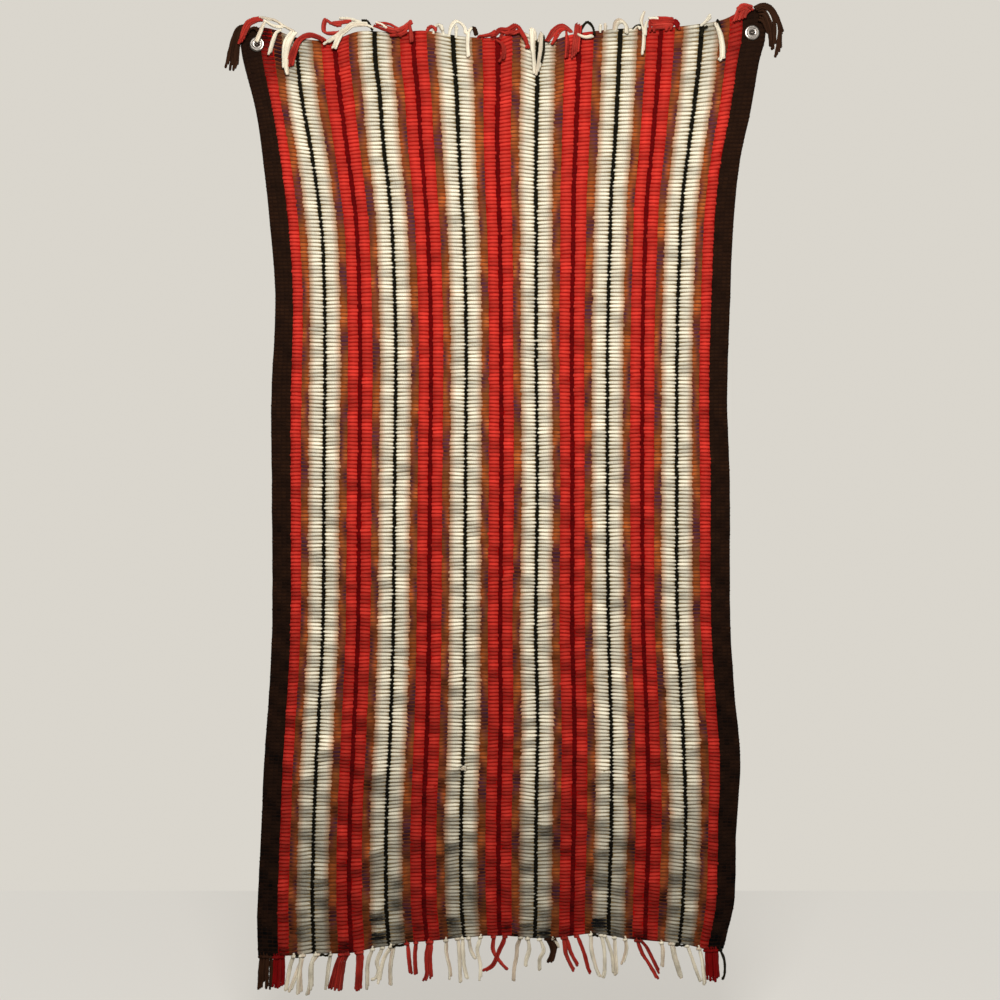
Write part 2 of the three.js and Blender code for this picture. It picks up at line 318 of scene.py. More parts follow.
outline = {
    "drop": [-70, 0, 42, 144, 246, 378, 522, 722, 882, 1162, 1302, 1442, 1582, 1722, 1782, 1840],
    "left": [-534, -529, -523, -497, -482, -468, -458, -466, -465, -464, -470, -480, -486, -493, -494,
             -492],
    "right": [524, 521, 510, 492, 470, 457, 451, 445, 450, 451, 459, 471, 463, 459, 446, 430],
}
ends = {
    "across": [0, .05, .11, .18, .24, .31, .37, .44, .5, .54, .59, .64, .7, .77, .85, .92, .96, 1],
    "top": [12, 23, 4, -4, 15, 12, 16, 4, 3, 16, -6, 8, 17, 22, 25, 37, 56, 62],
    "hem": [-1832, -1833, -1828, -1827, -1817, -1806, -1801, -1793, -1792, -1793, -1798, -1794, -1787,
            -1798, -1804, -1813, -1820, -1818],
}

# Where the six black lines run, left to right, at each drop
blackLines = [
    (-20, (-420, -260, -104, 68, 232, 394)),
    (44, (-414, -258, -101, 66, 229, 389)),
    (108, (-407, -250, -96, 65, 226, 382)),
    (220, (-387, -241, -91, 63, 220, 368)),
    (316, (-373, -230, -86, 62.5, 213, 356)),
    (412, (-363, -223, -80.5, 63.5, 210.5, 350.5)),
    (604, (-358.5, -217.5, -76.5, 63, 206, 345)),
    (892, (-360.5, -219.5, -78, 65.5, 205.5, 344)),
    (1180, (-362.5, -222, -79.5, 62.5, 207.5, 345.5)),
    (1372, (-372, -227.5, -81, 66, 213, 356)),
    (1564, (-380.5, -236, -86.5, 63, 213.5, 361.5)),
    (1732, (-383, -236, -85.5, 62, 208, 356)),
    (1804, (-381, -231.5, -79.5, 60.5, 208.5, 349.5)),
]

# Folds and creases: middle, length, lean from upright in degrees, half width and height
folds = [
    (-430, 170, 320, 18, 42, 5),
    (425, 150, 320, -18, 42, 5),
    (-120, 60, 150, 0, 60, 5),
    (150, 50, 150, 0, 60, 5),
    (-300, 900, 700, 0, 55, 5),
    (-20, 1000, 800, 0, 60, 4),
    (250, 980, 760, 0, 55, 5),
    (-380, 1440, 220, 52, 26, 4),
    (-240, 1500, 240, 50, 26, 4),
    (-90, 1560, 260, 48, 26, 4),
    (60, 1520, 260, 46, 26, 4),
    (200, 1600, 240, 46, 26, 4),
    (350, 1260, 220, 44, 26, 4),
    (-330, 1720, 200, 4, 50, 7),
    (-60, 1740, 180, 0, 50, 6),
    (180, 1730, 200, -4, 50, 7),
    (400, 1720, 160, -6, 40, 6),
]
creases = [
    (-397, 1346, 60, 40, 9, 4.4),
    (-361, 1426, 56, 45, 9, 4.8),
    (-403, 1480, 62, 50, 9, 5),
    (-369, 1684, 70, 48, 10, 4.6),
    (-257, 1324, 60, 45, 9, 4.4),
    (-243, 1462, 84, 48, 10, 5.2),
    (-263, 1626, 80, 45, 10, 4.8),
    (-251, 1738, 60, 42, 9, 4.6),
    (-105, 1462, 90, 50, 9, 5),
    (-117, 1618, 84, 48, 10, 5.2),
    (-61, 1576, 50, 40, 8, 3.6),
    (35, 1410, 60, 48, 9, 4.2),
    (61, 1352, 50, 50, 8, 3.6),
    (81, 1572, 60, 50, 10, 4.4),
    (29, 1778, 60, 45, 9, 4.4),
    (197, 1462, 70, 48, 10, 4.8),
    (193, 1618, 80, 46, 10, 4.8),
    (187, 1752, 60, 45, 9, 4.4),
    (353, 1254, 80, 48, 9, 4.4),
    (-250, 1782, 40, 45, 7, 3.4),
    (-397, 1766, 40, 40, 7, 3.2),
    (356, 1540, 80, 44, 10, 4.6),
    (330, 1680, 70, 40, 9, 4.2),
    (374, 1420, 60, 46, 9, 3.8),
]
# Long soft waves from loose tension: length across and up, and height at the hem
waves = [(118, 94, 1.3), (74, 143, 1.0), (61, 52, 0.9), (47, -41, 0.6)]
slack = {"top": 0.35, "over": 1600, "bend": 1.7, "bendStep": 83}  # less at the top, which bears the weight
creaseGain = 1.6


def smoothThrough(knots, values, at):  # a curve through a table, with one column or a column for each place
    knots = np.asarray(knots, float)
    values = np.asarray(values, float)
    last = len(knots) - 1
    row = np.clip(np.searchsorted(knots, at) - 1, 0, last - 1)
    before = np.maximum(row - 1, 0)
    after = np.minimum(row + 2, last)

    def pick(rows):
        return values[rows] if values.ndim == 1 else np.take_along_axis(values, rows[None], 0)[0]

    span = knots[row + 1] - knots[row]
    share = np.clip((at - knots[row]) / span, 0, 1)
    slopeFrom = (pick(row + 1) - pick(before)) / (knots[row + 1] - knots[before]) * span
    slopeTo = (pick(after) - pick(row)) / (knots[after] - knots[row]) * span
    square = share * share
    cube = square * share
    return (
        (2 * cube - 3 * square + 1) * pick(row)
        + (cube - 2 * square + share) * slopeFrom
        + (3 * square - 2 * cube) * pick(row + 1)
        + (cube - square) * slopeTo
    )


bandWidths = {"red": 20.4, "variegated": 16.2, "white": 26.4, "black": 7, "maroon": 8}
repeat = ["red", "variegated", "white", "black", "white", "variegated", "red"]
repeats = 6


def stripeBands():  # name of the yarn, start and end of each stripe across the flat cloth
    bands = [("brown", 0, cloth["edging"])]
    for turn in range(repeats):
        names = repeat if turn == 0 else ["maroon", *repeat]
        for name in names:
            start = bands[-1][2]
            bands.append((name, start, start + bandWidths[name]))
    start = bands[-1][2]
    bands.append(("brown", start, start + cloth["edging"]))
    return bands


bands = stripeBands()
blackFlats = [(start + end) / 2 for name, start, end in bands if name == "black"]
guideFlats = [0, *blackFlats, cloth["flatWidth"]]


# Where stripes are drawn to the right: place across the flat cloth, drop, how far, and half width
# across and up
pulls = [(457, 20, 5, 45, 110), (74, 30, 6, 22, 90)]


def sideways(flat, height):  # from a place across the flat cloth to X, at a height
    left = smoothThrough(outline["drop"], outline["left"], -height)
    right = smoothThrough(outline["drop"], outline["right"], -height)
    drops = [drop for drop, _ in blackLines]
    lines = [smoothThrough(drops, [row[line] for _, row in blackLines], -height) for line in range(repeats)]
    x = smoothThrough(guideFlats, np.stack([left, *lines, right]), flat)
    for middle, drop, far, across, up in pulls:
        x = x + far * np.exp(-((flat - middle) / across) ** 2 - ((height + drop) / up) ** 2)
    return x


def ridges(table, x, z):
    total = np.zeros(np.shape(x))
    for middle, drop, length, lean, width, rise in table:
        turn = math.radians(lean)
        across = x - middle
        up = z + drop
        along = across * math.sin(turn) + up * math.cos(turn)
        aside = across * math.cos(turn) - up * math.sin(turn)
        total += rise * np.exp(-((along / (length / 2)) ** 2) - (aside / width) ** 2)
    return total


def freedom(x, z):  # nothing at the pins, which hold the cloth flat, and 1 away from them
    nearest = np.minimum(*[np.hypot(x - px, z - pz) for px, pz in pins.values()])
    ease = np.clip((nearest - calm["reach"]) / (calm["radius"] - calm["reach"]), 0, 1)
    return ease * ease * (3 - 2 * ease)


def standOff(x, z):  # from the plane of the pins' backs to the back of the cloth, before it is creased
    return cloth["backGap"] + ridges(folds, x, z) * freedom(x, z)


def creaseLift(x, z):
    lift = creaseGain * ridges(creases, x, z)
    loose = np.clip(slack["top"] - z / slack["over"], 0, 1)
    bend = slack["bend"] * np.sin(x / slack["bendStep"])
    for across, up, rise in waves:
        lift += loose * rise * (1 + np.sin(2 * math.pi * (x / across + z / up) + bend))
    return lift * freedom(x, z)


def creased(mesh):  # every point of a mesh comes forward with the creases and waves
    places = np.empty(3 * len(mesh.vertices), np.float32)
    mesh.vertices.foreach_get("co", places)
    places = places.reshape(-1, 3)
    places[:, 1] -= creaseLift(places[:, 0] / mm, places[:, 2] / mm) * mm
    mesh.vertices.foreach_set("co", places.ravel())
    mesh.update()
    return mesh


def edgeHeight(name, flat):
    return smoothThrough(ends["across"], ends[name], np.asarray(flat, float) / cloth["flatWidth"])


def clothPlaces(flat, share, outwards=0.0):  # points of the cloth's middle, or that far in front of it
    flat, share = np.broadcast_arrays(np.asarray(flat, float), np.asarray(share, float))
    sunk = share + cloth["sag"] * (share - share * share)
    z = levels["top"] + (levels["hem"] - levels["top"]) * sunk
    fromTop = np.exp(-sunk * cloth["flatLength"] / levels["reach"])
    fromHem = np.exp((sunk - 1) * cloth["flatLength"] / levels["reach"])
    z = z + (edgeHeight("top", flat) - levels["top"]) * fromTop
    z = z + (edgeHeight("hem", flat) - levels["hem"]) * fromHem
    x = sideways(flat, z)
    y = -(standOff(x, z) + cloth["thickness"] / 2 + outwards)
    return np.stack([x, y, z], axis=-1)


# Meshes from arrays, and objects with a body, a slot and a finish

def meshOf(name, places, faces=(), edges=(), smooth=True):
    mesh = bpy.data.meshes.new(name)
    mesh.from_pydata((np.asarray(places) * mm).tolist(), list(edges), list(faces))
    mesh.polygons.foreach_set("use_smooth", [smooth] * len(mesh.polygons))
    return mesh


def addAttribute(mesh, name, values, kind="FLOAT"):
    made = mesh.attributes.new(name, kind, "POINT")
    field = "vector" if kind == "FLOAT_VECTOR" else "value"
    made.data.foreach_set(field, np.asarray(values, np.float32).ravel())


def shown(name, mesh, materials=()):
    piece = bpy.data.objects.new(name, mesh)
    bpy.context.scene.collection.objects.link(piece)
    for material in materials:
        mesh.materials.append(material)
    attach(piece, "root")
    return piece


def grown(name, tree, source, values, spare=()):  # a geometry tree's result as a plain piece
    bpy.context.scene.collection.objects.link(source)
    modifier = source.modifiers.new("grow", "NODES")
    modifier.node_group = tree
    for item in tree.interface.items_tree:
        if item.item_type == "SOCKET" and item.in_out == "INPUT" and item.name in values:
            modifier[item.identifier] = values[item.name]
    graph = bpy.context.evaluated_depsgraph_get()
    mesh = bpy.data.meshes.new_from_object(
        source.evaluated_get(graph), preserve_all_data_layers=True, depsgraph=graph
    )
    mesh.name = name
    for label in spare:
        mesh.attributes.remove(mesh.attributes[label])
    source.modifiers.remove(modifier)
    bpy.data.objects.remove(source)
    return shown(name, creased(mesh))


# Ground of the cloth: closed slabs that the stitches are set in. They carry no crest attribute, so they take
# the dark colour of each yarn's grooves: a dark ground that is partly the yarn inside the fabric and partly
# painted shade between the stitches

slabRows = 200


def slab(name, lines, columnYarns, slotName):
    shares = np.linspace(0, 1, slabRows + 1)[:, None]
    flats = np.asarray(lines, float)[None, :]
    half = cloth["ground"] / 2
    front = clothPlaces(flats, shares, half).reshape(-1, 3)
    back = clothPlaces(flats, shares, -half).reshape(-1, 3)
    places = np.concatenate([front, back])
    wide = len(lines)
    behind = len(front)
    used = sorted(set(columnYarns))
    faces = []
    slots = []

    def quad(a, b, c, d, column):
        faces.append((a, b, c, d))
        slots.append(used.index(columnYarns[column]))

    for row in range(slabRows):
        for column in range(wide - 1):
            a = row * wide + column
            quad(a + wide, a + wide + 1, a + 1, a, column)
            quad(a + behind, a + 1 + behind, a + wide + 1 + behind, a + wide + behind, column)
        left = row * wide
        right = left + wide - 1
        quad(left, left + behind, left + wide + behind, left + wide, 0)
        quad(right + wide, right + wide + behind, right + behind, right, wide - 2)
    for column in range(wide - 1):
        low = slabRows * wide + column
        quad(column, column + 1, column + 1 + behind, column + behind, column)
        quad(low + behind, low + 1 + behind, low + 1, low, column)
    mesh = creased(meshOf(name, places, faces))
    piece = shown(name, mesh, [finishes[yarn] for yarn in used])
    mesh.polygons.foreach_set("material_index", slots)
    return piece


# Columns of the slab in a stripe, so that the ground creases too
slabColumns = {"brown": 4, "white": 3, "red": 2, "variegated": 2}
darkSpread = {"black": 0.8, "maroon": 0.6}  # dark yarn shows between the tips of its neighbours' stitches


def bandLines(chosen):
    edges = [start for _, start, _ in chosen] + [chosen[-1][2]]
    for place, (name, _, _) in enumerate(chosen):
        edges[place] -= darkSpread.get(name, 0)
        edges[place + 1] += darkSpread.get(name, 0)
    lines = []
    names = []
    for place, (name, _, _) in enumerate(chosen):
        count = slabColumns.get(name, 1)
        lines.extend(np.linspace(edges[place], edges[place + 1], count + 1)[:-1])
        names.extend([name] * count)
    return [*lines, edges[-1]], names


panelLines, panelYarns = bandLines(bands[1:-1])
panel = slab("stripedPanel", panelLines, panelYarns, "striped_yarn")
edgings = {
    side: slab(f"{side}Edging", *bandLines([band]), "brown_yarn")
    for side, band in (("left", bands[0]), ("right", bands[-1]))
}
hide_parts("afghan_panel")
for side, piece in edgings.items():
    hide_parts(f"edging_{side}")
print("ground laid")


# Stitches: a bar of yarn for each, one row beside another up the stripes

stitchCount = 241
# Rings of a stitch: place along it, depth and height; a white one thins out slowly over the variegated yarn
whiteRings = [
    (-0.47, 0.5, 0.34), (-0.37, 0.84, 0.7), (-0.22, 0.97, 0.93), (0.14, 0.98, 0.98), (0.34, 0.8, 0.86),
    (0.46, 0.5, 0.6),
]
wideRings = [(-0.44, 0.72, 0.82), (0, 1, 1), (0.44, 0.72, 0.82)]
shortRings = [(-0.36, 0.88, 0.93), (0.36, 0.88, 0.93)]
barShape = {"out": 0.7, "up": 0.8, "crest": 1.3, "tip": 0.3}  # powers round the section, and the tips' crest share; the rest of a stitch's colour is painted shade of the grooves
stitches = {
    "white": {"rows": 1, "sides": 8, "rings": whiteRings, "depth": 6.8, "reach": 7.5, "ragged": 0.6},
    "red": {"rows": 1, "sides": 8, "rings": wideRings, "depth": 6.6, "reach": 1.8, "ragged": 0.7},
    "variegated": {"rows": 1, "sides": 6, "rings": wideRings, "depth": 5.2, "reach": 2, "ragged": 0.4},
    "black": {"rows": 1, "sides": 6, "rings": shortRings, "depth": 4, "reach": 2.6, "ragged": 0.2},
    "maroon": {"rows": 1, "sides": 6, "rings": shortRings, "depth": 4.6, "reach": 1.2, "ragged": 0.2},
    "brown": {"rows": 4, "sides": 6, "rings": shortRings, "depth": 5.2, "reach": 1.2, "ragged": 0.2},
}
wobble = {"turn": 0.025, "shift": 0.2, "grow": 0.05}
slant = {"top": 0.02, "hem": 0.1, "step": 6}  # how far stitches lean together


def stitchBar(name, sides, rings):  # unit bar along X, squarish in section so that the grooves stay narrow
    places = [(-0.5, 0, 0)]
    unshadedShares = [barShape["tip"]]
    arounds = [0.5]
    for along, deep, high in rings:
        for side in range(sides):
            turn = 2 * math.pi * (side / sides - 0.25)
            out = math.copysign(abs(math.cos(turn)) ** barShape["out"], math.cos(turn))
            up = math.copysign(abs(math.sin(turn)) ** barShape["up"], math.sin(turn))
            places.append((along, 0.5 * deep * out, 0.5 * high * up))
            # painted shade mask: the crest share is 1 on the front and back, 0 on the upper and lower sides
            # where the stitches meet, and less towards the thin ends
            unshadedShares.append(abs(math.cos(turn)) ** barShape["crest"] * (0.5 + 0.5 * deep))
            arounds.append(side / sides)
    places.append((0.5, 0, 0))
    unshadedShares.append(barShape["tip"])
    arounds.append(0.5)
    faces = []
    lastRing = 1 + (len(rings) - 1) * sides
    for side in range(sides):
        after = (side + 1) % sides
        faces.append((0, 1 + after, 1 + side))
        faces.append((len(places) - 1, lastRing + side, lastRing + after))
        for ring in range(len(rings) - 1):
            base = 1 + ring * sides
            faces.append((base + side, base + after, base + sides + after, base + sides + side))
    mesh = meshOf(name, np.array(places) / mm, faces)
    addAttribute(mesh, "crest", unshadedShares)
    addAttribute(mesh, "around", arounds)
    addAttribute(mesh, "along", [place[0] * 2 for place in places])
    return bpy.data.objects.new(name, mesh)


def stitchTree():
    net = Net(bpy.data.node_groups.new("stitchRows", "GeometryNodeTree"))
    given = net.given({
        "Geometry": "NodeSocketGeometry",
        "Stitch": "NodeSocketObject",
        "Yarn": "NodeSocketMaterial",
        "Turn": "NodeSocketFloat",
        "Shift": "NodeSocketFloat",
        "Grow": "NodeSocketFloat",
        "Seed": "NodeSocketInt",
    })

    def vectorOf(label):
        return net.node("GeometryNodeInputNamedAttribute", {"data_type": "FLOAT_VECTOR"}, {"Name": label})

    def vectorSum(operation, first, second):
        return net.node("ShaderNodeVectorMath", {"operation": operation}, {0: first, 1: second})

    def random(reach, offset):
        low = vectorSum("MULTIPLY", (-1, -1, -1), reach)
        return net.node(
            "FunctionNodeRandomValue",
            {"data_type": "FLOAT_VECTOR"},
            {0: low, 1: reach, 8: given["Seed"] + offset},
        )

    moved = net.node("GeometryNodeSetPosition", values={
        "Geometry": given["Geometry"],
        "Offset": random(given["Shift"], 1),
    })
    turn = vectorSum("ADD", vectorOf("turn"), random(given["Turn"], 2))
    turned = net.node("FunctionNodeEulerToRotation", values={0: turn})
    grownBy = vectorSum("ADD", (1, 1, 1), random(given["Grow"], 3))
    bar = net.node("GeometryNodeObjectInfo", values={"Object": given["Stitch"]}, output=4)
    laid = net.node("GeometryNodeInstanceOnPoints", values={
        "Points": moved,
        "Instance": bar,
        "Rotation": turned,
        "Scale": vectorSum("MULTIPLY", vectorOf("size"), grownBy),
    })
    real = net.node("GeometryNodeRealizeInstances", values={"Geometry": laid})
    painted = net.node("GeometryNodeSetMaterial", values={"Geometry": real, "Material": given["Yarn"]})
    return net.finish(painted)


def framesAt(flat, share, halfWidth):  # middle, turn, width and pitch of each stitch
    step = 1 / stitchCount
    middle = clothPlaces(flat, share)
    width = clothPlaces(flat + halfWidth, share) - clothPlaces(flat - halfWidth, share)
    lift = clothPlaces(flat, share - step / 2) - clothPlaces(flat, share + step / 2)
    wide = np.linalg.norm(width, axis=-1)
    right = width / wide[:, None]
    pitch = np.abs(lift[:, 2])
    lift = lift - right * np.sum(lift * right, axis=-1)[:, None]
    up = lift / np.linalg.norm(lift, axis=-1)[:, None]
    back = np.cross(up, right)
    turn = np.stack([
        np.arctan2(back[:, 2], up[:, 2]),
        -np.arcsin(np.clip(right[:, 2], -1, 1)),
        np.arctan2(right[:, 1], right[:, 0]),
    ], axis=-1)
    return middle, turn, wide, pitch


def slowNoise(count, step):  # a soft random line along a row
    knots = np.arange(-1, count // step + 3) * step
    return smoothThrough(knots, chance.uniform(-1, 1, len(knots)), np.arange(count, dtype=float))


dyeTurn = {"stitches": 21, "uneven": 0.8, "step": 7}
toneSpread = {"stitch": 0.6, "slow": 0.5, "step": 5}
cornerShade = {"left": 4.5, "right": 2.5}  # the yarn is drawn tight round the pins, and darkened there with painted shade for the shadow of the ends and the pinched folds
endShade = {"top": 2.6, "topReach": 100, "hem": 2.3, "hemReach": 60}
# painted shade: the yarn darkens towards the hem, where the light falls off
shadeTowardsHem = {
    "white": {"most": 4.6, "from": 1380, "to": 1700},
    "others": {"most": 2.9, "from": 700, "to": 1700},
}
creaseShade = {"gain": 9, "least": -2, "most": 3, "reach": 4}
snug = 1.04  # height of a stitch as a share of its pitch
whiteShift = 1.3  # the white stitches lie towards the variegated ones, off the black line
topOpening = {"gap": 4, "reach": 150}  # near the top the white stitches draw back from the black lines


def dyeRun():  # where each stitch of a row comes in the dye's turn
    pace = 1 + dyeTurn["uneven"] * slowNoise(stitchCount, dyeTurn["step"])
    return (chance.uniform(0, 1) + np.cumsum(pace) / dyeTurn["stitches"]) % 1


def shadeAt(yarn, drop, middle):  # how much painted shade a stitch takes, for where it lies: at the ends, towards the hem, under the creases and round the pins
    x, _, z = middle.T
    shade = endShade["top"] * np.exp(-drop / endShade["topReach"])
    shade += endShade["hem"] * np.exp((drop - cloth["flatLength"]) / endShade["hemReach"])
    towardsHem = shadeTowardsHem["white" if yarn == "white" else "others"]
    share = np.clip((drop - towardsHem["from"]) / (towardsHem["to"] - towardsHem["from"]), 0, 1)
    shade += towardsHem["most"] * share * share * (3 - 2 * share)
    reach = creaseShade["reach"]
    downwards = (creaseLift(x, z + reach) - creaseLift(x, z - reach)) / (2 * reach)
    shade += np.clip(creaseShade["gain"] * downwards, creaseShade["least"], creaseShade["most"])
    if yarn != "brown":
        shade += np.where(x < 0, cornerShade["left"], cornerShade["right"]) * (1 - freedom(x, z))
    return shade


def rowPoints(band):  # the points of one stripe's rows, as columns of a table
    yarn, start, end = band
    look = stitches[yarn]
    isWhite = yarn == "white"
    leftHalf = isWhite and bands[bands.index(band) - 1][0] == "variegated"
    rowWidth = (end - start) / look["rows"]
    share = (np.arange(stitchCount) + 0.5) / stitchCount
    drop = share * cloth["flatLength"]
    lean = slant["top"] + (slant["hem"] - slant["top"]) * share
    columns = []
    for row in range(look["rows"]):
        flat = start + rowWidth * (row + 0.5) + chance.normal(0, look["ragged"], stitchCount)
        if isWhite:
            flat += -whiteShift if leftHalf else whiteShift
        middle, turn, wide, pitch = framesAt(flat, share, rowWidth / 2)
        turn[:, 1] += lean * slowNoise(stitchCount, slant["step"])
        if leftHalf:  # its thin end to the left
            turn = turn * (-1, 1, 1) + (0, math.pi, 0)
        length = wide + look["reach"] + chance.normal(0, look["ragged"], stitchCount)
        if isWhite:
            length -= topOpening["gap"] * np.exp(-drop / topOpening["reach"])
        tone = toneSpread["stitch"] * chance.uniform(-1, 1, stitchCount)
        tone += toneSpread["slow"] * slowNoise(stitchCount, toneSpread["step"])
        columns.append({
            "middle": middle,
            "turn": turn,
            "size": np.stack([length, np.full(stitchCount, look["depth"]), pitch * snug], axis=-1),
            # the tone attribute: random tone less the painted shade
            "tone": tone - shadeAt(yarn, drop, middle),
            "run": dyeRun(),
            "nextRun": dyeRun(),
            "outer": np.full(stitchCount, float(isWhite)),
        })
    return columns


def sewRows(name, yarn, chosen, tree, seed):
    columns = [column for band in chosen for column in rowPoints(band)]
    joined = {key: np.concatenate([column[key] for column in columns]) for key in columns[0]}
    points = meshOf(f"{name}Points", joined["middle"])
    addAttribute(points, "turn", joined["turn"], "FLOAT_VECTOR")
    addAttribute(points, "size", joined["size"] * mm, "FLOAT_VECTOR")
    for label in ("tone", "run", "nextRun", "outer"):
        addAttribute(points, label, joined[label])
    bar = stitchBar(f"{name}Bar", stitches[yarn]["sides"], stitches[yarn]["rings"])
    values = {
        "Stitch": bar,
        "Yarn": finishes[yarn],
        "Turn": wobble["turn"],
        "Shift": wobble["shift"] * mm,
        "Grow": wobble["grow"],
        "Seed": seed,
    }
    source = bpy.data.objects.new(f"{name}Source", points)
    piece = grown(name, tree, source, values, ("turn", "size"))
    bpy.data.objects.remove(bar)
    return piece


def bandsOf(yarn, low=0, high=cloth["flatWidth"]):
    return [band for band in bands if band[0] == yarn and low <= band[1] < high]


halfway = cloth["flatWidth"] / 2
rowTree = stitchTree()
sewn = {
    "whiteRowsLeft": ("white", bandsOf("white", high=halfway), "white_yarn"),
    "whiteRowsRight": ("white", bandsOf("white", low=halfway), "white_yarn"),
    "redRows": ("red", bandsOf("red"), "red_yarn"),
    "variegatedRows": ("variegated", bandsOf("variegated"), "variegated_yarn"),
    "blackRows": ("black", bandsOf("black"), "black_yarn"),
    "maroonRows": ("maroon", bandsOf("maroon"), "maroon_yarn"),
    "leftEdgingRows": ("brown", bands[:1], "brown_yarn"),
    "rightEdgingRows": ("brown", bands[-1:], "brown_yarn"),
}
rows = {
    name: sewRows(name, yarn, chosen, rowTree, seed)
    for seed, (name, (yarn, chosen, slotName)) in enumerate(sewn.items())
}
print("rows stitched")


# Yarn ends: each starts on an edge, or at a point in front of the cloth, and goes on by steps

strand = {"radius": 3.0, "plies": 4, "hollow": 0.76, "lay": 16, "step": 3, "clear": 1.2}
# Ends that lie in pairs: right and up to the second, past its first stretch, which may be shorter
twins = {"brown": (3, 2), "red": (3.8, -2), "maroon": (3, 2), "white": (2.6, -1.6)}
twinning = {"stretch": 20, "shorter": 4}
fringeShade = {"red": 3.6, "white": 0.6}  # painted shade: darker than the stripes, for the shade the loose ends lie in
topSetting = {"under": 4, "comesForward": 22}
hemSetting = {"above": 4, "sag": 0.6, "apart": 1.8, "swing": 2.4}  # ends lie before and behind one another
knot = {"radius": 3.2, "under": 2.5, "tilt": 0.4, "points": 13}
spinning = {
    "girth": 0.1,
    "slow": 0.12,
    "slowStep": 4,
    "frayed": (1.12, 0.8),  # the last two points of an end
    "tone": (-1.2, 1.0),
    "crest": (0.7, 1),
    "tint": 0.1,
    "tintMore": (-0.4, 0.25),
}
